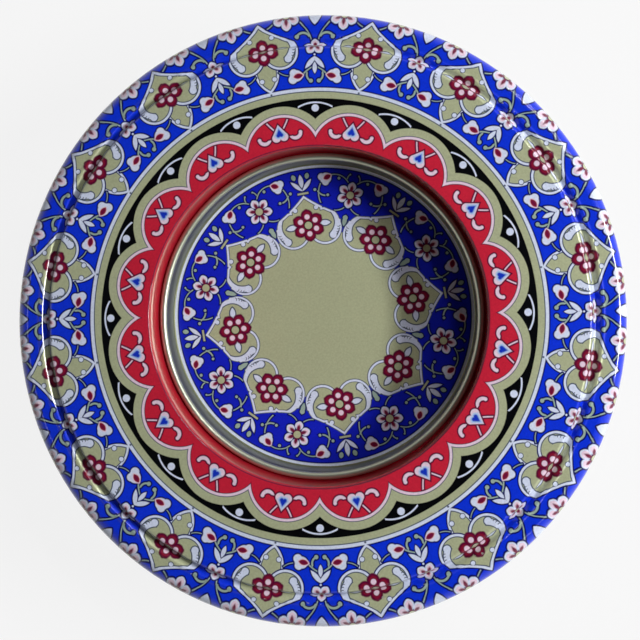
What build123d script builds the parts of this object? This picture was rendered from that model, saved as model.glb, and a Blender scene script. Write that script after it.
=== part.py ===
from build123d import *
from math import degrees, sqrt
import os

# Round two-part tin with a lift-off lid and a display well in the middle of the lid.
# Millimetres, +Z up, origin at the middle of the underside, lid seated.
# Every wall is one thickness of tinplate, so each piece is drawn as the line that runs
# through the middle of its sheet, traced at the sheet's thickness and turned about Z.

# Sheet and gaps
sheet = 0.3  # thickness of the tinplate
slip_gap = 0.3  # between the lid and the base, all round and above the stop bead
fold_gap = 0.08  # between the layers of a seam or under a rolled edge
rim_gap = 0.3  # between the well's rolled rim and the cover's wall round it
mouth_gap = 0.5  # between the base's mouth curl and the inside of the lid's shoulder
curl_diameter = 1.4  # outside size of every rolled edge
bend_radius = 0.3  # smallest bend through the middle of the sheet

# Whole tin
lid_radius = 60.0  # outside of the lid's skirt
total_height = 26.0  # underside of the base to the lid's flat top

# Lid cover
lid_depth = 14.5  # flat top to the foot of the hem
shoulder_radius = 2.6  # outside of the quarter round between the ledge and the skirt
ledge_drop = 1.05  # level ledge inside the shoulder, below the flat top
ledge_width = 1.85
lip_height = 0.2  # low lip along the ledge's inner edge
lip_width = 0.6
groove_depth = 2.0  # pressed groove between the flat top and the lip
groove_outer_width = 1.35  # from the groove's bottom out to the lip
groove_inner_width = 0.95  # from the groove's bottom in to the flat top
groove_bend = 0.5
brow_radius = 0.4  # bend where the flat top turns down into the opening

# Well in the lid
rim_depth = 6.3  # top of the well's rolled rim below the flat top
rim_rise = 1.3  # top of the rim above the flange that it grips
well_radius = 31.2  # inside of the well's wall
well_depth = 6.7  # top of the rim to the floor
well_corner = 0.4  # inside rounding between wall and floor

# Base
stop_bead_reach = 1.3  # how far the stop bead stands out of the wall
stop_bead_height = 1.9
seam_height = 2.7  # height of the double seam at the foot
seam_corner = 0.5  # rounding of the seam's foot, either side of its flat
panel_height = 2.7  # underside of the recessed bottom above the ground
panel_bead_radii = (21.0, 43.0)
panel_bead_width = 2.4
panel_bead_drop = 0.6
lock_seam_width = 3.2
lock_groove = 0.12  # depth of the seam's line on the outside
lock_groove_width = 0.25

# Sizes worked out from the ones above
half_sheet = sheet / 2
curl_radius = (curl_diameter - sheet) / 2  # middle of the sheet in a rolled edge
hem_foot = total_height - lid_depth
top_line = total_height - half_sheet  # middle of the sheet in the flat top
ledge_line = top_line - ledge_drop
shoulder_r = lid_radius - shoulder_radius  # centre of the shoulder's quarter round
shoulder_z = total_height - ledge_drop - shoulder_radius
lip_foot_r = shoulder_r - ledge_width
lip_r = lip_foot_r - lip_width
groove_r = lip_r - groove_outer_width
groove_edge_r = groove_r - groove_inner_width
skirt_line = lid_radius - half_sheet
rim_line = well_radius + half_sheet
rim_centre_r = rim_line + curl_radius
rim_top = total_height - rim_depth
rim_centre_z = rim_top - half_sheet - curl_radius
flange_top = rim_top - rim_rise
flange_line = flange_top - half_sheet
opening_line = rim_centre_r + curl_diameter / 2 + rim_gap + half_sheet  # wall round the rim
well_floor = rim_top - well_depth
base_radius = lid_radius - curl_diameter - slip_gap  # outside of the base's wall
wall_line = base_radius - half_sheet
stop_bead_top = hem_foot - slip_gap
layer = sheet + fold_gap  # pitch of the layers in the double seam
seam_foot_z = half_sheet + 2 * layer  # centre of the seam's lower fold
seam_head_z = seam_height - half_sheet - layer  # centre of the seam's upper fold
chuck_line = wall_line - layer  # wall of the recessed bottom inside the band
panel_line = panel_height + half_sheet

# Lid cover: flange under the rim, wall of the opening, flat top, groove, lip and ledge,
# shoulder, skirt and hem
with BuildPart() as lid_shell:
    with BuildSketch(Plane.XZ):
        with BuildLine():
            cover = FilletPolyline(
                (rim_centre_r, rim_centre_z),
                (rim_centre_r, flange_line),
                (opening_line, flange_line),
                (opening_line, top_line),
                (groove_edge_r, top_line),
                (groove_r, top_line - groove_depth),
                (lip_r, ledge_line + lip_height),
                (lip_foot_r, ledge_line),
                (skirt_line, ledge_line),
                (skirt_line, hem_foot + half_sheet + curl_radius),
                radius=(
                    bend_radius,
                    bend_radius,
                    brow_radius,
                    groove_bend,
                    groove_bend,
                    groove_bend,
                    2 * groove_bend,
                    shoulder_radius - half_sheet,
                ),
            )
            JernArc(cover @ 1, cover % 1, radius=curl_radius, arc_size=-270)
        trace(line_width=sheet)
    revolve(axis=Axis.Z)
lid_shell.part.label = "lid_shell"

# Well cup, whose mouth rolls outward and down over the cover's flange
with BuildPart() as lid_cup:
    with BuildSketch(Plane.XZ):
        with BuildLine():
            well = FilletPolyline(
                (0, well_floor - half_sheet),
                (rim_line, well_floor - half_sheet),
                (rim_line, rim_centre_z),
                radius=well_corner + half_sheet,
            )
            rim = JernArc(well @ 1, well % 1, radius=curl_radius, arc_size=-180)
            Line(rim @ 1, (rim_centre_r + curl_radius, flange_top + fold_gap))
        trace(line_width=sheet)
    revolve(axis=Axis.Z)
lid_cup.part.label = "lid_cup"

# The mouth curl of the base stands as high as the lid's shoulder lets it
mouth_curl_r = wall_line - curl_radius
mouth_reach = shoulder_radius - sheet - mouth_gap - curl_diameter / 2
mouth_curl_z = shoulder_z + sqrt(mouth_reach**2 - (mouth_curl_r - shoulder_r) ** 2)

# Body band, from its hook in the double seam up past the stop bead to the mouth curl
stop_bead_foot = stop_bead_top - stop_bead_height
bead_flank = stop_bead_height / 4
with BuildPart() as body_band:
    with BuildSketch(Plane.XZ):
        with BuildLine():
            hook = Line((wall_line + 2 * layer, seam_head_z), (wall_line + 2 * layer, seam_foot_z))
            fold = JernArc(hook @ 1, hook % 1, radius=layer, arc_size=-180)
            wall = FilletPolyline(
                fold @ 1,
                (wall_line, stop_bead_foot),
                (wall_line + stop_bead_reach, stop_bead_foot + bead_flank),
                (wall_line + stop_bead_reach, stop_bead_top - bead_flank),
                (wall_line, stop_bead_top),
                (wall_line, mouth_curl_z),
                radius=bend_radius,
            )
            JernArc(wall @ 1, wall % 1, radius=curl_radius, arc_size=270)
        trace(line_width=sheet)
    revolve(axis=Axis.Z)
    # Lock seam: the folded layers inside the band, at the back, following the wall
    lock_angle = degrees(lock_seam_width / base_radius)
    lock_foot = seam_height + bend_radius
    with BuildSketch(Plane.XZ.rotated((0, 0, 90 - lock_angle / 2))):
        with BuildLine():
            FilletPolyline(
                (wall_line - sheet, lock_foot),
                (wall_line - sheet, stop_bead_foot),
                (wall_line - sheet + stop_bead_reach, stop_bead_foot + bead_flank),
                (wall_line - sheet + stop_bead_reach, stop_bead_top - bead_flank),
                (wall_line - sheet, stop_bead_top),
                (wall_line - sheet, mouth_curl_z - curl_diameter),
                radius=bend_radius,
            )
        trace(line_width=2 * sheet)
    revolve(axis=Axis.Z, revolution_arc=lock_angle)
    # The line where the strip's end folds under, on the outside below the stop bead
    groove_angle = degrees(lock_groove_width / base_radius)
    groove_height = stop_bead_foot - bend_radius - seam_height
    with BuildSketch(Plane.XZ.rotated((0, 0, 90 - groove_angle / 2))):
        with Locations((base_radius, seam_height + groove_height / 2)):
            Rectangle(2 * lock_groove, groove_height)
    revolve(axis=Axis.Z, revolution_arc=groove_angle, mode=Mode.SUBTRACT)
body_band.part.label = "body_band"

# Bottom panel, recessed, with stiffening beads, folded under and round the band's hook
panel_points = [(0, panel_line)]
for radius in panel_bead_radii:
    panel_points.append((radius - panel_bead_width / 2, panel_line))
    panel_points.append((radius, panel_line - panel_bead_drop))
    panel_points.append((radius + panel_bead_width / 2, panel_line))
panel_points.append((chuck_line, panel_line))
bends = [bend_radius] * (len(panel_points) - 1)
with BuildPart() as bottom_panel:
    with BuildSketch(Plane.XZ):
        with BuildLine():
            panel = FilletPolyline(
                *panel_points,
                (chuck_line, half_sheet),
                (wall_line + 3 * layer, half_sheet),
                (wall_line + 3 * layer, seam_head_z),
                radius=(*bends, seam_corner, seam_corner),
            )
            over = JernArc(panel @ 1, panel % 1, radius=layer, arc_size=180)
            Line(over @ 1, (wall_line + layer, seam_foot_z))
        trace(line_width=sheet)
    revolve(axis=Axis.Z)
bottom_panel.part.label = "bottom_panel"

os.makedirs("parts", exist_ok=True)
export_step(lid_shell.part, "parts/lid_shell.step")
export_step(lid_cup.part, "parts/lid_cup.step")
export_step(body_band.part, "parts/body_band.step")
export_step(bottom_panel.part, "parts/bottom_panel.step")
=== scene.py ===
import math
import bpy
from mathutils import Matrix, Vector

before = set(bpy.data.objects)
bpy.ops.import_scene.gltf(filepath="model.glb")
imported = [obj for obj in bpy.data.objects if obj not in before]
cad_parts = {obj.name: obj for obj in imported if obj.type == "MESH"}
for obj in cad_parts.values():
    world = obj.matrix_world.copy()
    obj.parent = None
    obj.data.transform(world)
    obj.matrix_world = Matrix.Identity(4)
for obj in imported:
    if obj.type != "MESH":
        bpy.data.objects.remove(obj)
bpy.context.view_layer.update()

# Inks and metals of the print, as a printer's swatches (sRGB, 0 to 255)
BLUE = (16, 54, 226)
# Blue of the well's floor: the lid's blue ink made darker, as painted shade down in the well
SHADED_WELL_BLUE = (24, 36, 200)
NIGHT = (6, 14, 96)
WHITE = (222, 230, 252)
ROSE_WHITE = (240, 214, 232)
SKY = (178, 208, 246)
RED = (208, 38, 62)
WINE = (96, 10, 52)
CRIMSON = (150, 26, 52)
BLACK = (6, 7, 10)
SLATE = (66, 78, 104)
GOLD = (194, 199, 161)
SAGE = (162, 184, 170)
RUBY = (138, 22, 50)
PLUM = (116, 20, 60)
WALL_RED = (196, 34, 52)
DEEP_BLUE = (24, 56, 196)
SHADOW = (34, 14, 30)
INNER_LACQUER = (196, 186, 150)
RIM_GOLD = (190, 196, 176)
# Khaki gold lacquer of the well's wall, made darker than the rim's as painted shade in the well
SHADED_CUP_GOLD = (120, 124, 98)
BRIGHT_TIN = (200, 200, 196)
PLAIN_TIN = (196, 196, 190)
WORN_TIN = (120, 118, 112)

# The prints' repeats, in degrees
repeat = 22.5  # from one medallion of the lid to the next
first_axis = 12.0  # from +X to a medallion's axis
well_repeat = 45.0  # from one medallion of the well's floor to the next
well_axis = 9.98  # from +X to the axis of a medallion on the well's floor
band_repeat = 7.5  # from one flower of the base's wall to the next

# Radii where the prints and lacquers change, in millimetres
opening_edge = 33.4  # inside it the cover's upright wall is the opening's
skirt_edge = 57.3  # outside it the cover's upright wall is the shoulder or the skirt
floor_edge = 30.95  # print on the well's floor
cup_edge = 31.6  # well's wall, inside its rim
band_radius = 58.0  # base's wall

# Heights where they change, in millimetres
flat_top = 26.0  # lid's flat top
hem_line = 12.2  # below it the hem is plain gold
floor_top = 13.2  # above it nothing on the well's floor is printed
cup_top = 18.9  # well's wall turns into its rim
rim_crown = 19.7  # top of the rim
band_top = 9.45  # top of the print on the base's wall
band_middle = 6.0  # row of flowers on the base's wall
seam_top, bead_foot = 2.9, 9.3  # edges beside that print, where it rubs

# Ways from the middle along the lid's sheet, in millimetres
turn_back = 60.7  # the print on the shoulder starts to mirror itself down the skirt
hem_way = 73.0  # stands for the whole hem, past its gold line
rubbed_ways = (56.3, 61.0, hem_way)  # lip, shoulder and hem, where hands rub

# Finishes
ink_gloss = 0.32  # roughness of the print
floor_gloss = 0.34  # roughness of the print in the well, and of its rim
lacquer_gloss = 0.26  # roughness of the gold lacquer inside
tin_gloss = 0.24  # roughness of bright tinplate
gold_ink_metal = 0.2  # how metallic the gold ink is
lacquer_metal = 0.9  # how metallic the gold lacquer is
worn_metal = 0.5  # what rubbing adds to that
worn_share = 0.75  # how much of the ink is gone where it is worn
peel_depth = 0.000012  # depth of the lacquer's orange peel, in metres

# Over the groove, the lip, the ledge, the shoulder and the skirt: radius plus half the depth below
# the flat top, and the way from the middle along the sheet
lid_edge = (
    (52.2, 52.2), (52.78, 52.65), (53.2, 53.0), (54.24, 54.2), (54.68, 54.8), (55.09, 55.7), (55.34, 56.1),
    (55.83, 56.5), (57.91, 58.6), (59.64, 59.74), (60.75, 60.49), (61.22, 60.87), (61.61, 61.25),
    (61.9, 61.66), (67.1, 72.64),
)


class Field:
    """One number over the surface: a socket of the tree that is being drawn."""

    def __init__(self, tree, socket):
        self.tree = tree
        self.socket = socket

    def do(self, operation, *others, clamp=False):
        """The Math node of that name, on this number and the others."""
        made = self.tree.nodes.new("ShaderNodeMath")
        made.operation = operation
        made.use_clamp = clamp
        for slot, value in zip(made.inputs, (self, *others)):
            plug(slot, value)
        return Field(self.tree, made.outputs[0])

    def __add__(self, other):
        return self.do("ADD", other)

    def __sub__(self, other):
        return self.do("SUBTRACT", other)

    def __rsub__(self, other):
        return self.do("MULTIPLY_ADD", -1.0, other)

    def __mul__(self, other):
        return self.do("MULTIPLY", other)

    def __neg__(self):
        return self.do("MULTIPLY", -1.0)


def plug(slot, value):
    """Links a field to a socket, or sets a plain value on it."""
    if isinstance(value, Field):
        value.tree.links.new(value.socket, slot)
    else:
        slot.default_value = value


def low(first, *rest):
    """The smallest of several distances: the shapes together."""
    for other in rest:
        first = first.do("MINIMUM", other)
    return first


def high(first, *rest):
    """The largest of several distances: only where the shapes overlap."""
    for other in rest:
        first = first.do("MAXIMUM", other)
    return first


def size(field):
    """A number without its sign."""
    return field.do("ABSOLUTE")


class Place:
    """A point of the print: x along a motif's axis and y across it."""

    def __init__(self, x, y):
        self.x = x
        self.y = y
        joined = x.tree.nodes.new("ShaderNodeCombineXYZ")
        plug(joined.inputs[0], x)
        plug(joined.inputs[1], y)
        self.joined = Field(x.tree, joined.outputs[0])

    def away(self, x, y):
        """The distance from the point x, y."""
        made = self.x.tree.nodes.new("ShaderNodeVectorMath")
        made.operation = "DISTANCE"
        plug(made.inputs[0], self.joined)
        made.inputs[1].default_value = (x, y, 0)
        return Field(self.x.tree, made.outputs["Value"])

    def side(self, x, y, beyond):
        """The distance past a straight line that faces x, y and lies that far out."""
        made = self.x.tree.nodes.new("ShaderNodeVectorMath")
        made.operation = "DOT_PRODUCT"
        plug(made.inputs[0], self.joined)
        made.inputs[1].default_value = (x, y, 0)
        return Field(self.x.tree, made.outputs["Value"]) - beyond


def polar(reach, angle):
    """The place at that distance and angle from the middle."""
    return Place(reach * angle.do("COSINE"), reach * angle.do("SINE"))


def angle_of(x, y):
    """The angle round the axis, in radians from +X."""
    return y.do("ARCTAN2", x)


def from_axis(x, y):
    """The distance from the axis: the root of x squared plus y squared."""
    return (x * x + y * y).do("SQRT")


def folded(angle, start, half):
    """The angle from the nearest of the axes that start there and stand two halves apart, in degrees."""
    return (angle - math.radians(start)).do("PINGPONG", math.radians(half))


def linear(swatch):
    """A swatch as the linear colour that a shader reads."""
    parts = (value / 255 for value in swatch)
    return tuple(p / 12.92 if p < 0.04045 else ((p + 0.055) / 1.055) ** 2.4 for p in parts)


def mixed(tree, share, first, second):
    """Two colours, each a field or a swatch, mixed by a share from 0 to 1."""
    made = tree.nodes.new("ShaderNodeMix")
    made.data_type = "RGBA"
    plug(made.inputs[0], share)
    plug(made.inputs[6], first if isinstance(first, Field) else (*linear(first), 1))
    plug(made.inputs[7], second if isinstance(second, Field) else (*linear(second), 1))
    return Field(tree, made.outputs[2])


class Coat:
    """The print as it builds up, one ink laid over the last."""

    def __init__(self, tree, swatch):
        self.tree = tree
        self.colour = swatch

    def lay(self, distance, inks, soft=0.05):
        """Lays bands of ink by distance, each up to its own edge; nothing is laid beyond the last."""
        start = inks[0][1] - 0.2
        span = inks[-1][1] + 0.2 - start
        ramp = self.tree.nodes.new("ShaderNodeValToRGB")
        plug(ramp.inputs[0], distance.do("MULTIPLY_ADD", 1 / span, -start / span))
        stops = ramp.color_ramp.elements
        marks = []
        for number, (swatch, edge) in enumerate(inks):
            if number:
                marks.append((inks[number - 1][1] + soft, (*linear(swatch), 1)))
            marks.append((edge - soft, (*linear(swatch), 1)))
        marks.append((inks[-1][1] + soft, (*linear(inks[-1][0]), 0)))
        stops.remove(stops[1])
        for number, (where, colour) in enumerate(marks):
            stop = stops[0] if number == 0 else stops.new((where - start) / span)
            stop.position = (where - start) / span
            stop.color = colour
        share = Field(self.tree, ramp.outputs["Alpha"])
        self.colour = mixed(self.tree, share, self.colour, Field(self.tree, ramp.outputs["Color"]))


# Shapes, as distances in millimetres that are negative inside


def disc(at, x, y, radius):
    """A filled circle: the distance from its middle less its radius."""
    return at.away(x, y) - radius


def ring(at, x, y, radius, half_width):
    """A drawn circle: how far off its radius, less half the line's width."""
    return size(at.away(x, y) - radius) - half_width


def through(start, end, rise):
    """The circle through two points, whose arc rises to the left of the way between them.

    Its radius is a quarter of the chord squared plus the rise squared, over twice the rise. Gives its centre,
    its radius, the chord's middle and half the chord.
    """
    along = (end[0] - start[0], end[1] - start[1])
    chord = math.hypot(*along)
    radius = (chord * chord / 4 + rise * rise) / (2 * abs(rise))
    back = math.copysign(radius - abs(rise), rise) / chord
    middle = ((start[0] + end[0]) / 2, (start[1] + end[1]) / 2)
    return middle[0] + along[1] * back, middle[1] - along[0] * back, radius, middle, chord / 2


def bow(at, start, end, rise, half_width):
    """A stem along the arc from start to end; a steep arc is cut at its chord and a flat one by a disc."""
    x, y, radius, middle, half_chord = through(start, end, rise)
    stroke = ring(at, x, y, radius, half_width)
    if abs(rise) < half_chord / 3:
        return high(stroke, disc(at, *middle, half_chord + half_width))
    return high(stroke, beside(at, start, end) if rise > 0 else beside(at, end, start))


def beside(at, start, end):
    """The half plane on the left of the way from start to end."""
    chord = math.hypot(end[0] - start[0], end[1] - start[1])
    across = ((end[1] - start[1]) / chord, (start[0] - end[0]) / chord)
    return at.side(*across, across[0] * start[0] + across[1] * start[1])


def lens(at, start, end, half_width):
    """A leaf between two points: the overlap of two equal circles."""
    left = through(start, end, half_width)
    right = through(start, end, -half_width)
    return high(at.away(left[0], left[1]), at.away(right[0], right[1])) - left[2]


def petal_of(at, x, y, petals, turn):
    """The place in one petal of a flower at x, y, and the distance from the flower's middle."""
    reach = at.away(x, y)
    angle = angle_of(at.x - x, at.y - y)
    return polar(reach, folded(angle, turn, 180 / petals)), reach


def red_flower(coat, at, x, y):
    """Six dark red petals with a pale spot each, round a gold eye."""
    petal, reach = petal_of(at, x, y, 6, 0)
    shape = low(disc(petal, 2.08, 0, 1.2), disc(petal, 2.95, 0, 0.44), reach - 1.6)
    coat.lay(shape, ((RUBY, -0.36), (WINE, 0.08)), soft=0.12)
    coat.lay(disc(petal, 1.78, 0, 0.56), ((ROSE_WHITE, 0.0), (PLUM, 0.16)), soft=0.1)
    coat.lay(reach, ((GOLD, 0.76), (SHADOW, 1.0)), soft=0.08)


def pale_flower(coat, at, x, y, petals, turn, reach_out, petal_size, eye):
    """Pale petals with a dark mark each, round a small eye."""
    petal, reach = petal_of(at, x, y, petals, turn)
    tip = disc(petal, reach_out + 0.5 * petal_size, 0, 0.6 * petal_size)
    shape = low(disc(petal, reach_out, 0, petal_size), tip)
    coat.lay(shape, ((ROSE_WHITE, -0.3), (WHITE, 0.0), (NIGHT, 0.3)), soft=0.08)
    coat.lay(lens(petal, (eye - 0.2, 0), (reach_out + 0.2, 0), 0.36), ((PLUM, 0.02),), soft=0.14)
    coat.lay(reach, ((GOLD, eye), (WINE, eye + 0.2)), soft=0.07)


def gold_field(coat, shape):
    """Gold with a dark line and a white outline round it."""
    coat.lay(shape, ((GOLD, -0.62), (SLATE, -0.42), (WHITE, 0.0), (NIGHT, 0.26)), soft=0.06)


def pearl(coat, at, x, y):
    """A small white dot with a dark line round it."""
    coat.lay(disc(at, x, y, 0.44), ((WHITE, 0.0), (SLATE, 0.15)), soft=0.06)


def curl_ink(coat, at, medallion, under, narrows, head):
    """A white comma with three strokes, from its round head to where it joins the medallion's outline."""
    x, y = head
    upper_side = beside(at, (x + 3.05, y + 2.2), (x + 1.05, y + 0.5))
    swell = high(under, upper_side, at.x - narrows, medallion + 0.24)
    arm = bow(at, (x + 0.4, y + 0.25), (x + 2.6, y + 1.4), 0.2, 0.56)
    coat.lay(low(swell, disc(at, x, y, 0.7), arm), ((WHITE, 0.0), (SLATE, 0.22)), soft=0.06)
    coat.lay(size(medallion + 0.2), ((WHITE, 0.18),), soft=0.06)
    strokes = low(
        bow(at, (x + 0.5, y + 0.85), (x + 0.62, y + 1.35), 0.08, 0.07),
        bow(at, (x + 1.0, y + 1.1), (x + 1.12, y + 1.6), 0.08, 0.07),
        bow(at, (x + 1.52, y + 1.25), (x + 1.64, y + 1.75), 0.08, 0.07),
    )
    coat.lay(strokes, ((SLATE, 0.0),), soft=0.06)


def bud(coat, at, lobes, top, foot, drop):
    """A heart-shaped bud: two lobes, a point between them and a red drop under the point."""
    shape = low(*(disc(at, *lobe) for lobe in lobes), lens(at, top, foot, 1.14))
    coat.lay(shape, ((WHITE, 0.0), (NIGHT, 0.28)), soft=0.09)
    coat.lay(lens(at, top, drop, 0.46), ((PLUM, -0.12), (CRIMSON, 0.04), (ROSE_WHITE, 0.26)), soft=0.1)


def lid_print(tree, arc, angle):
    """The print of the lid: arc is the way from the middle along the sheet, angle the angle round the tin."""
    inner = folded(angle, first_axis, repeat / 2)
    out = turn_back - size(arc - turn_back)
    at = polar(out, inner)
    gap = polar(out, math.radians(repeat / 2) - inner)
    coat = Coat(tree, BLUE)

    # Small gold leaf before the medallion
    coat.lay(out, ((NIGHT, 44.85),), soft=0.1)
    gold_field(coat, disc(at, 49.0, -2.95, 5.38))
    pearl(coat, at, 47.12, 1.26)

    # Red ground, scallop, black band and the rings
    rings = ((BLACK, 42.5), (GOLD, 43.75), (SLATE, 43.95), (WHITE, 44.6))
    coat.lay(out, rings, soft=0.06)
    coat.lay(disc(at, 44.12, 0, 0.2), ((SLATE, 0.0),), soft=0.1)
    scallop = disc(at, 32.44, 0, 7.0)
    inside = high(scallop, out - 42.3)
    coat.lay(inside, ((RED, -0.16), (WINE, 0.0), (ROSE_WHITE, 0.5), (SLATE, 0.66), (GOLD, 2.13)), soft=0.07)
    coat.lay(disc(gap, 40.6, 0, 0.72), ((WHITE, 0.0),), soft=0.06)
    coat.lay(high(ring(gap, 35.0, 0, 6.7, 0.16), gap.y - 3.4, 36.0 - gap.x), ((WHITE, 0.0),), soft=0.06)

    # Heart between two curls on the red
    inner_side = high(at.x - 35.9, low(at.x - 35.4, 3.1 - at.y))
    hook = high(disc(at, 35.86, 3.1, 1.34), 0.86 - at.away(36.06, 3.0), inner_side)
    strokes = high(bow(at, (37.25, 1.0), (38.9, 2.16), 0.03, 0.13), scallop + 0.3)
    coat.lay(low(hook, disc(at, 35.82, 4.12, 0.35), strokes), ((ROSE_WHITE, 0.0), (WINE, 0.28)), soft=0.08)
    body = low(disc(at, 35.55, 0.76, 0.84), high(beside(at, (38.08, 0.0), (36.0, 1.45)), 36.0 - at.x))
    coat.lay(body, ((ROSE_WHITE, 0.0), (WINE, 0.28)), soft=0.08)
    seed_point = high(beside(at, (37.25, 0.0), (36.2, 0.66)), 36.22 - at.x)
    seed = low(disc(at, 36.0, 0.3, 0.4), disc(at, 36.2, 0, 0.42), seed_point)
    coat.lay(seed, ((DEEP_BLUE, 0.0), (SKY, 0.32)), soft=0.13)
    # Red of the wall round the opening, and a wine line at its crease: painted shade where the sheet bends
    # down
    coat.lay(out, ((WALL_RED, 33.1), (WINE, 33.3)), soft=0.1)

    # Stems, curls and buds on the blue
    stems = low(
        bow(at, (47.2, 4.1), (48.2, 2.4), -0.15, 0.1),
        bow(at, (46.7, 6.7), (47.9, 8.9), -0.12, 0.16),
        bow(at, (47.15, 7.9), (45.3, 8.2), 0.42, 0.2),
        disc(at, 45.3, 8.2, 0.42),
    )
    coat.lay(stems, ((SAGE, -0.02), (NIGHT, 0.26)), soft=0.06)
    bud(coat, at, ((46.25, 4.78, 0.84), (47.5, 5.2, 0.78)), (46.75, 6.85), (46.95, 4.3), (46.7, 5.1))

    # Lily and flower on the axis between two medallions
    side_petals = low(lens(gap, (48.5, 1.88), (50.95, -0.15), 0.45), disc(gap, 49.95, 0.3, 0.42))
    coat.lay(low(side_petals, disc(gap, 51.25, 0, 0.2)), ((WHITE, 0.0), (NIGHT, 0.28)), soft=0.07)
    coat.lay(lens(gap, (47.45, 0.0), (49.8, 0.0), 0.42), ((WHITE, 0.0), (NIGHT, 0.2)), soft=0.07)
    twigs = low(
        bow(at, (54.8, 10.15), (58.8, 8.3), 0.4, 0.13),
        bow(at, (55.3, 9.95), (56.1, 7.5), 0.75, 0.24),
        disc(at, 55.92, 7.4, 0.44),
        bow(at, (59.6, 3.6), (58.7, 1.8), -0.1, 0.1),
    )
    coat.lay(twigs, ((SAGE, -0.02), (NIGHT, 0.28)), soft=0.06)
    pale_flower(coat, gap, 53.5, 0.0, 5, 0, 1.35, 0.86, 0.5)
    pale_flower(coat, at, 60.4, 5.92, 6, 5.6, 1.8, 0.98, 0.6)
    coat.lay(lens(gap, (58.7, 0.0), (62.7, 0.0), 1.2), ((WHITE, 0.0), (NIGHT, 0.28)))

    # Medallion, its curl, pearls and flower
    lobe = low(disc(at, 52.2, 3.45, 3.5), disc(at, 53.05, 3.5, 3.45), disc(at, 53.8, 3.5, 3.4))
    medallion = high(low(lobe, high(51.6 - at.x, at.y - 3.5)), 34.0 - at.away(85.3, 22.4))
    gold_field(coat, medallion)
    pearl(coat, at, 56.85, 2.28)
    curl_ink(coat, at, medallion, high(3.3 - at.away(54.2, 2.3), 5.3 - at.y), 55.46, (50.55, 4.72))
    coat.lay(lens(at, (53.6, 2.3), (53.65, 5.0), 0.6), ((WHITE, -0.05), (SLATE, 0.2)), soft=0.07)
    red_flower(coat, at, 53.45, 0.0)

    # Gold hem with its lines, at the foot of the skirt
    coat.lay(72.0 - arc, ((GOLD, -0.5), (SLATE, -0.34), (WHITE, 0.1), (NIGHT, 0.36)), soft=0.06)
    return coat.colour


def well_print(tree, out, angle):
    """The print of the well's floor: a gold disc in a wreath of eight medallions."""
    inner = folded(angle, well_axis, well_repeat / 2)
    at = polar(out, inner)
    gap = polar(out, math.radians(well_repeat / 2) - inner)
    # The floor's blue ground is the lid's blue ink darkened as painted shade
    coat = Coat(tree, SHADED_WELL_BLUE)

    # Sprigs and buds on the blue
    stems = low(
        bow(at, (20.95, 7.85), (20.8, 5.9), -0.16, 0.12),
        bow(at, (25.9, 9.7), (28.2, 6.3), 0.75, 0.13),
        bow(at, (26.8, 9.65), (27.5, 10.4), -0.1, 0.13),
        disc(at, 27.5, 10.4, 0.2),
        bow(at, (23.0, 3.3), (26.8, 3.95), -0.4, 0.13),
        bow(at, (25.5, 3.1), (24.15, 5.0), 0.4, 0.17),
    )
    coat.lay(stems, ((SAGE, -0.02), (NIGHT, 0.24)), soft=0.06)
    beads = low(disc(at, 27.2, 7.95, 0.3), disc(at, 24.2, 5.05, 0.28), disc(at, 25.77, 2.6, 0.3))
    oval = lens(at, (28.3, 1.25), (29.5, 1.6), 0.45)
    leaf_bud = low(disc(gap, 20.4, 0, 0.5), lens(gap, (18.6, 0), (21.0, 0), 0.44))
    coat.lay(low(beads, oval, leaf_bud), ((SAGE, 0.0), (NIGHT, 0.24)), soft=0.06)
    bud(coat, at, ((26.95, 5.05, 0.72), (28.15, 4.4, 0.74)), (28.15, 6.3), (27.25, 4.1), (27.65, 4.85))
    pale_flower(coat, gap, 25.17, 0.0, 6, 0, 1.8, 0.84, 0.74)
    tulip = lens(at, (25.9, 0.0), (28.1, 2.15), 0.4)
    coat.lay(tulip, ((WHITE, 0.0), (NIGHT, 0.26)), soft=0.07)
    coat.lay(lens(at, (26.5, 0.0), (29.35, 0.0), 0.5), ((WHITE, 0.0), (NIGHT, 0.22)), soft=0.07)
    coat.lay(high(size(at.x - 25.35) - 0.2, at.y - 1.15), ((GOLD, 0.0), (NIGHT, 0.2)), soft=0.06)

    # Gold disc, rings and medallions
    coat.lay(out, ((GOLD, 17.3),))
    coat.lay(-out, ((SLATE, -30.95), (WHITE, -30.42), (NIGHT, -30.15)), soft=0.07)
    lobe = low(disc(at, 17.6, 3.35, 3.4), disc(at, 18.6, 3.3, 3.2))
    medallion = high(low(lobe, high(17.0 - at.x, at.y - 3.4)), 29.7 - at.away(46.3, 20.6))
    coat.lay(medallion, ((GOLD, -0.54), (SLATE, -0.38), (WHITE, 0.0), (SLATE, 0.18)), soft=0.06)
    pearl(coat, at, 22.1, 2.2)
    curl_ink(coat, at, medallion, high(3.38 - at.away(18.8, 2.2), 5.0 - at.y), 20.45, (15.85, 4.75))
    coat.lay(lens(at, (18.75, 2.2), (18.5, 4.7), 0.58), ((WHITE, -0.05), (SLATE, 0.2)), soft=0.07)
    red_flower(coat, at, 18.65, 0.0)
    return coat.colour


def band_print(tree, height, angle):
    """The print of the base's wall: a row of flowers and leaves between gold lines."""
    along = folded(angle, 0, band_repeat / 2) * band_radius
    at = Place(along, height - band_middle)
    coat = Coat(tree, BLUE)
    coat.lay(lens(at, (2.4, 0.0), (5.2, 0.0), 0.55), ((SAGE, 0.0), (NIGHT, 0.26)), soft=0.06)
    pale_flower(coat, at, 0.0, 0.0, 6, 30, 1.25, 0.6, 0.5)
    lines = ((GOLD, -2.9), (SLATE, -2.75), (WHITE, -2.35), (NIGHT, -2.15))
    coat.lay(-size(at.y), lines, soft=0.05)
    return coat.colour


# Materials


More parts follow.
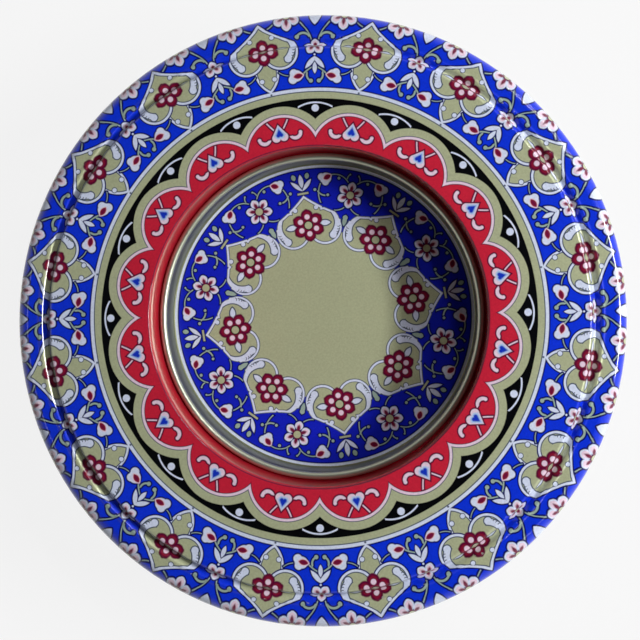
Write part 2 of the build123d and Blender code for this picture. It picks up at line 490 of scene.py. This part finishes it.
def new_group(name, inputs, outputs):
    """An empty node group with those named sockets, and the nodes at its two ends."""
    tree = bpy.data.node_groups.new(name, "ShaderNodeTree")
    for label, kind, value in inputs:
        made = tree.interface.new_socket(label, in_out="INPUT", socket_type=kind)
        if value is not None:
            made.default_value = value
    for label, kind in outputs:
        tree.interface.new_socket(label, in_out="OUTPUT", socket_type=kind)
    return tree, tree.nodes.new("NodeGroupInput"), tree.nodes.new("NodeGroupOutput")


def noise(tree, place, scale, detail=2.0):
    """Cloudy noise over a place in millimetres, from 0 to 1 about a middle of 0.5."""
    made = tree.nodes.new("ShaderNodeTexNoise")
    tree.links.new(place, made.inputs["Vector"])
    made.inputs["Scale"].default_value = scale
    made.inputs["Detail"].default_value = detail
    return Field(tree, made.outputs["Fac"])


def finish_group(name):
    """A group that takes a place, a colour and a gloss, and gives a colour, a roughness and a height."""
    taken = (
        ("Place", "NodeSocketVector", None),
        ("Colour", "NodeSocketColor", None),
        ("Gloss", "NodeSocketFloat", 0.3),
    )
    given = (
        ("Colour", "NodeSocketColor"),
        ("Roughness", "NodeSocketFloat"),
        ("Height", "NodeSocketFloat"),
    )
    return new_group(name, taken, given)


def scaled(tree, vector, factor):
    """A place or a colour times a number."""
    made = tree.nodes.new("ShaderNodeVectorMath")
    made.operation = "SCALE"
    tree.links.new(vector, made.inputs[0])
    plug(made.inputs["Scale"], factor)
    return made.outputs[0]


def lacquer_film():
    """Ink or lacquer on tinplate: its shade drifts, its gloss varies and its skin has a fine orange peel."""
    tree, start, end = finish_group("lacquer_film")
    place = start.outputs["Place"]
    drift = noise(tree, place, 0.045)
    grain = noise(tree, place, 2.6, 3.0)
    shade = drift.do("MULTIPLY_ADD", 0.1, 0.9) + grain.do("MULTIPLY_ADD", 0.36, -0.13)
    tree.links.new(scaled(tree, start.outputs["Colour"], shade), end.inputs["Colour"])
    smear = noise(tree, place, 0.12, 4.0)
    gloss = smear.do("MULTIPLY_ADD", 0.16, -0.08) + Field(tree, start.outputs["Gloss"])
    plug(end.inputs["Roughness"], gloss)
    plug(end.inputs["Height"], noise(tree, place, 0.9, 1.0) * 0.6 + grain * 0.12)
    return tree


def tin_grain():
    """Bare or lacquered tinplate: fine lines round the axis, faint stains and a fine spangle."""
    tree, start, end = finish_group("tin_grain")
    parts = tree.nodes.new("ShaderNodeSeparateXYZ")
    tree.links.new(start.outputs["Place"], parts.inputs[0])
    x, y, z = (Field(tree, socket) for socket in parts.outputs)
    fineness = 2.4
    around = Place(from_axis(x, y) * fineness, z * fineness)
    lines = noise(tree, around.joined.socket, 1.0, 4.0)
    stains = noise(tree, start.outputs["Place"], 0.08, 3.0)
    spangle = noise(tree, start.outputs["Place"], 1.4, 1.0)
    shade = lines.do("MULTIPLY_ADD", 0.16, 0.86) + stains.do("MULTIPLY_ADD", 0.14, -0.04)
    tree.links.new(scaled(tree, start.outputs["Colour"], shade), end.inputs["Colour"])
    gloss = stains.do("MULTIPLY_ADD", 0.2, -0.1) + spangle * 0.06
    plug(end.inputs["Roughness"], gloss + Field(tree, start.outputs["Gloss"]))
    plug(end.inputs["Height"], lines * 0.5 + spangle * 0.2)
    return tree


def rubbed():
    """Where handling has rubbed the ink: broken specks that thicken near an edge, 0 where it is whole."""
    tree, start, end = new_group(
        "rubbed",
        (("Place", "NodeSocketVector", None), ("Edge", "NodeSocketFloat", 1.0)),
        (("Worn", "NodeSocketFloat"),),
    )
    specks = noise(tree, start.outputs["Place"], 1.1, 5.0)
    near = (1.0 - Field(tree, start.outputs["Edge"])).do("MAXIMUM", 0.0)
    worn = (specks + near * 0.2 - 0.83).do("MULTIPLY", 22.0, clamp=True)
    plug(end.inputs["Worn"], worn)
    return tree


def use(tree, group, **values):
    """Puts a node group into a tree, with its inputs linked or set; gives its outputs by name."""
    made = tree.nodes.new("ShaderNodeGroup")
    made.node_tree = group
    for label, value in values.items():
        plug(made.inputs[label], value)
    return {socket.name: Field(tree, socket) for socket in made.outputs}


def position(tree):
    """Object position in millimetres, as a vector field and as x, y and z."""
    place = tree.nodes.new("ShaderNodeTexCoord")
    millimetres = scaled(tree, place.outputs["Object"], 1000)
    parts = tree.nodes.new("ShaderNodeSeparateXYZ")
    tree.links.new(millimetres, parts.inputs[0])
    return Field(tree, millimetres), *(Field(tree, socket) for socket in parts.outputs)


def facing(tree, x, y, reach):
    """How far the surface faces away from the axis, and how far it faces up."""
    place = tree.nodes.new("ShaderNodeTexCoord")
    parts = tree.nodes.new("ShaderNodeSeparateXYZ")
    tree.links.new(place.outputs["Normal"], parts.inputs[0])
    across, along, up = (Field(tree, socket) for socket in parts.outputs)
    return (across * x + along * y).do("DIVIDE", reach), up


def new_material(name):
    """A material with nodes, its tree and its shader."""
    material = bpy.data.materials.new(name)
    material.use_nodes = True
    return material, material.node_tree, material.node_tree.nodes["Principled BSDF"]


def likeness(tree, colour, swatch, within):
    """1 where a colour is that swatch, falling to 0 at the given distance from it."""
    made = tree.nodes.new("ShaderNodeVectorMath")
    made.operation = "DISTANCE"
    plug(made.inputs[0], colour)
    made.inputs[1].default_value = linear(swatch)
    return Field(tree, made.outputs["Value"]).do("MULTIPLY_ADD", -1 / within, 1.0, clamp=True)


def either(share, first, second):
    """The first number where the share is 0 and the second where it is 1."""
    return (second - first) * share + first


def ink_on_lacquer(tree, film, grain, place, print_colour, printed, worn):
    """The print where it is printed, rubbed to bright tin in specks, and gold lacquer elsewhere.

    Gives the colour, the roughness, the metal's share and the heights of the ink and of the lacquer.
    """
    inked = use(tree, film, Place=place, Colour=print_colour, Gloss=ink_gloss)
    bare = use(tree, grain, Place=place, Colour=(*linear(INNER_LACQUER), 1), Gloss=lacquer_gloss)
    rubbed_print = mixed(tree, worn * worn_share, inked["Colour"], BRIGHT_TIN)
    colour = mixed(tree, printed, bare["Colour"], rubbed_print)
    gold = likeness(tree, print_colour, GOLD, 0.05)
    metal = either(printed, lacquer_metal, gold * gold_ink_metal + worn * worn_metal)
    roughness = either(printed, bare["Roughness"], inked["Roughness"])
    return colour, roughness, metal, inked["Height"], bare["Height"]


def finish_shader(tree, shader, colour, roughness, height, metal, coat, depth):
    """Plugs a finish into the shader, with its bump."""
    bump = tree.nodes.new("ShaderNodeBump")
    bump.inputs["Strength"].default_value = 1.0
    bump.inputs["Distance"].default_value = depth
    plug(bump.inputs["Height"], height)
    tree.links.new(bump.outputs[0], shader.inputs["Normal"])
    plug(shader.inputs["Base Color"], colour)
    plug(shader.inputs["Roughness"], roughness)
    plug(shader.inputs["Metallic"], metal)
    plug(shader.inputs["Coat Weight"], coat)
    shader.inputs["Coat Roughness"].default_value = 0.07
    shader.inputs["Coat IOR"].default_value = 1.45
    shader.inputs["Specular IOR Level"].default_value = 0.1


def way_along(tree, reach, depth):
    """The way from the middle along the lid's sheet, from the radius and the depth below the flat top.

    Radius plus half the depth grows all the way from the flat top to the hem, so a curve on it gives the way.
    """
    curve = tree.nodes.new("ShaderNodeFloatCurve")
    low_end, high_end = lid_edge[0][0], lid_edge[-1][0]
    way_end = lid_edge[-1][1]
    points = curve.mapping.curves[0].points
    for _ in lid_edge[2:]:
        points.new(0.5, 0.5)
    for point, (bend, way) in zip(points, lid_edge):
        point.location = ((bend - low_end) / (high_end - low_end), (way - low_end) / (way_end - low_end))
        point.handle_type = "VECTOR"
    curve.mapping.update()
    bend = depth * 0.5 + reach
    plug(curve.inputs["Value"], (bend - low_end).do("DIVIDE", high_end - low_end, clamp=True))
    past = Field(tree, curve.outputs[0]) * (way_end - low_end)
    return reach.do("MINIMUM", low_end) + past


def printed_lid(film, grain, wear):
    """The lid's cover: printed outside and round its opening, gold-lacquered inside."""
    material, tree, shader = new_material("printed_lid")
    place, x, y, z = position(tree)
    reach = from_axis(x, y)
    outward, up = facing(tree, x, y, reach)
    way = high(way_along(tree, reach, flat_top - z), z.do("LESS_THAN", hem_line) * hem_way)
    print_colour = lid_print(tree, way, angle_of(x, y))
    inside_wall = reach.do("LESS_THAN", opening_edge)
    skirt = reach.do("GREATER_THAN", skirt_edge)
    shown = (outward * (skirt - inside_wall) + up).do("GREATER_THAN", 0.0)
    printed = shown.do("MAXIMUM", z.do("LESS_THAN", hem_line))
    edges = low(*(size(way - rubbed_way) for rubbed_way in rubbed_ways))
    worn = use(tree, wear, Place=place, Edge=edges)["Worn"]
    colour, roughness, metal, ink_height, _ = ink_on_lacquer(
        tree, film, grain, place, print_colour, printed, worn
    )
    finish_shader(tree, shader, colour, roughness, ink_height - worn * 0.5, metal, printed, peel_depth)
    return material


def gold_lacquer(film, grain, wear):
    """The well's cup: printed floor, lacquered wall and rim, and the wall's lacquer underneath."""
    material, tree, shader = new_material("gold_lacquer")
    place, x, y, z = position(tree)
    reach = from_axis(x, y)
    _, up = facing(tree, x, y, reach)
    print_colour = well_print(tree, reach, angle_of(x, y))
    level = up.do("GREATER_THAN", 0.3)
    on_floor = reach.do("LESS_THAN", floor_edge) * z.do("LESS_THAN", floor_top) * level
    worn = use(tree, wear, Place=place, Edge=size(z - rim_crown) * 0.8)["Worn"]
    inked = use(tree, film, Place=place, Colour=print_colour, Gloss=floor_gloss)
    wall = reach.do("LESS_THAN", cup_edge) * z.do("LESS_THAN", cup_top)
    # The wall's lacquer is a darker copy of the rim's: painted shade down in the well
    lacquer = mixed(tree, wall, RIM_GOLD, SHADED_CUP_GOLD)
    bare = use(tree, grain, Place=place, Colour=lacquer, Gloss=wall * 0.1 + floor_gloss)
    colour = mixed(tree, on_floor, mixed(tree, worn * 0.6, bare["Colour"], BRIGHT_TIN), inked["Colour"])
    gold = likeness(tree, print_colour, GOLD, 0.05)
    lacquered = 0.85 - wall * 0.1
    metal = either(on_floor, lacquered, gold * gold_ink_metal)
    roughness = either(on_floor, bare["Roughness"], inked["Roughness"])
    height = either(on_floor, bare["Height"], inked["Height"])
    finish_shader(tree, shader, colour, roughness, height, metal, on_floor * 0.7 + 0.3, peel_depth)
    return material


def printed_band(film, grain, wear):
    """The base's wall: printed below the stop bead, lacquered above it and inside."""
    material, tree, shader = new_material("printed_band")
    place, x, y, z = position(tree)
    outward, _ = facing(tree, x, y, from_axis(x, y))
    print_colour = band_print(tree, z, angle_of(x, y))
    printed = outward.do("GREATER_THAN", 0.0) * z.do("LESS_THAN", band_top)
    edges = low(size(z - seam_top), size(z - bead_foot))
    worn = use(tree, wear, Place=place, Edge=edges)["Worn"]
    colour, roughness, metal, ink_height, bare_height = ink_on_lacquer(
        tree, film, grain, place, print_colour, printed, worn
    )
    height = either(printed, bare_height, ink_height)
    finish_shader(tree, shader, colour, roughness, height, metal, printed, peel_depth)
    return material


def plain_tinplate(grain, wear):
    """The base's bottom: bright tinplate with a thin clear lacquer, rubbed on the foot of the seam."""
    material, tree, shader = new_material("plain_tinplate")
    place, x, y, z = position(tree)
    worn = use(tree, wear, Place=place, Edge=z * 0.9)["Worn"]
    bare = use(tree, grain, Place=place, Colour=(*linear(PLAIN_TIN), 1), Gloss=tin_gloss)
    colour = mixed(tree, worn * 0.7, bare["Colour"], WORN_TIN)
    roughness = bare["Roughness"] + worn * 0.2
    finish_shader(tree, shader, colour, roughness, bare["Height"] - worn * 0.4, 1.0, 0.3, 0.000014)
    return material


def dress(node, material):
    """Gives a CAD node its material."""
    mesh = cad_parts[node].data
    mesh.materials.clear()
    mesh.materials.append(material)


film = lacquer_film()
grain = tin_grain()
wear = rubbed()
dress("lid_shell", printed_lid(film, grain, wear))
dress("lid_cup", gold_lacquer(film, grain, wear))
dress("body_band", printed_band(film, grain, wear))
dress("bottom_panel", plain_tinplate(grain, wear))


# Studio

paper_white = 0.9  # colour of the sheet under the tin
paper_seen = 0.955  # its level where the camera or a mirror sees it
paper_share = 0.9  # how much of that is seen over its own light and shadow
backdrop = 0.94  # level of the room where the camera sees it
room_light = 0.1  # strength of the room as light, low down
mirrored_room = 0.9  # what it gains in mirrors
lamp_distance = 0.6  # metres from the tin

# Soft boxes: width and depth in metres, watts, azimuth and elevation in degrees
lamps = (
    ("right_window", 0.3, 0.06, 3.15, 3, 35),
    ("right_back_box", 0.16, 0.016, 0.4, 43, 54),
    ("right_back_strip", 0.16, 0.016, 0.34, 43, 38),
    ("right_front_box", 0.16, 0.016, 0.1, 313, 50),
    ("left_strip", 0.3, 0.04, 0.08, 190, 54),
)

def seen_or_mirrored(tree):
    """1 for the rays that the camera sees directly, in a mirror or through glass."""
    path = tree.nodes.new("ShaderNodeLightPath")
    rays = (path.outputs[name] for name in ("Is Camera Ray", "Is Glossy Ray", "Is Transmission Ray"))
    return high(*(Field(tree, ray) for ray in rays))


def floor():
    """A wide level sheet under the tin: pale paper that keeps a soft shadow."""
    half = 1.5
    mesh = bpy.data.meshes.new("studio_floor")
    corners = [(-half, -half, 0), (half, -half, 0), (half, half, 0), (-half, half, 0)]
    mesh.from_pydata(corners, [], [(0, 1, 2, 3)])
    piece = bpy.data.objects.new("studio_floor", mesh)
    bpy.context.scene.collection.objects.link(piece)
    material, tree, shader = new_material("studio_paper")
    shader.inputs["Base Color"].default_value = (paper_white, paper_white, paper_white, 1)
    shader.inputs["Roughness"].default_value = 0.9
    shader.inputs["Specular IOR Level"].default_value = 0.0
    glow = tree.nodes.new("ShaderNodeEmission")
    glow.inputs["Color"].default_value = (paper_seen, paper_seen, paper_seen, 1)
    both = tree.nodes.new("ShaderNodeMixShader")
    plug(both.inputs[0], seen_or_mirrored(tree) * paper_share)
    tree.links.new(shader.outputs[0], both.inputs[1])
    tree.links.new(glow.outputs[0], both.inputs[2])
    tree.links.new(both.outputs[0], tree.nodes["Material Output"].inputs[0])
    mesh.materials.append(material)


def surroundings():
    """Pale where the camera sees it; as light and in mirrors it is bright low down and dark overhead."""
    world = bpy.data.worlds.new("studio")
    bpy.context.scene.world = world
    world.use_nodes = True
    tree = world.node_tree
    towards = tree.nodes.new("ShaderNodeTexCoord")
    parts = tree.nodes.new("ShaderNodeSeparateXYZ")
    tree.links.new(towards.outputs["Generated"], parts.inputs[0])
    rise = Field(tree, parts.outputs["Z"])
    level = 1.0 - rise * rise
    path = tree.nodes.new("ShaderNodeLightPath")
    mirrored = Field(tree, path.outputs["Is Glossy Ray"])
    dim = level * level * (mirrored * mirrored_room + room_light)
    seen = Field(tree, path.outputs["Is Camera Ray"])
    back = tree.nodes["Background"]
    back.inputs["Color"].default_value = (0.97, 0.98, 1.0, 1)
    plug(back.inputs["Strength"], dim + seen * (backdrop - dim))


def aimed(place, target, up=(0, 1, 0)):
    """A matrix that stands at place and looks at target."""
    ahead = (Vector(target) - Vector(place)).normalized()
    right = ahead.cross(Vector(up)).normalized()
    above = right.cross(ahead)
    turned = Matrix((right, above, -ahead)).transposed().to_4x4()
    return Matrix.Translation(place) @ turned


def lamp(name, width, depth, watts, azimuth, elevation):
    """A soft box that looks at the tin from that azimuth and elevation."""
    light = bpy.data.lights.new(name, "AREA")
    light.shape = "RECTANGLE"
    light.size = width
    light.size_y = depth
    light.energy = watts
    around, rise = math.radians(azimuth), math.radians(elevation)
    place = (
        lamp_distance * math.cos(rise) * math.cos(around),
        lamp_distance * math.cos(rise) * math.sin(around),
        lamp_distance * math.sin(rise),
    )
    piece = bpy.data.objects.new(name, light)
    bpy.context.scene.collection.objects.link(piece)
    piece.matrix_world = aimed(place, (0, 0, 0.02), up=(0, 0, 1))


def camera():
    """Stands where the photograph was taken from, nearly straight above the tin."""
    lens_piece = bpy.data.cameras.new("camera")
    lens_piece.lens = 59.082
    lens_piece.sensor_width = 36
    lens_piece.shift_x = -0.08438
    lens_piece.shift_y = -0.14398
    lens_piece.clip_start = 0.01
    piece = bpy.data.objects.new("camera", lens_piece)
    bpy.context.scene.collection.objects.link(piece)
    stand = Vector((0.02041, 0.00345, 0.22952))
    looks_along = Vector((-0.04632, 0.06617, -1))
    piece.matrix_world = aimed(stand, stand + looks_along, up=(0.00217, 1, 0))
    bpy.context.scene.camera = piece


floor()
surroundings()
camera()
for soft_box in lamps:
    lamp(*soft_box)
bpy.context.scene.view_settings.view_transform = "Standard"
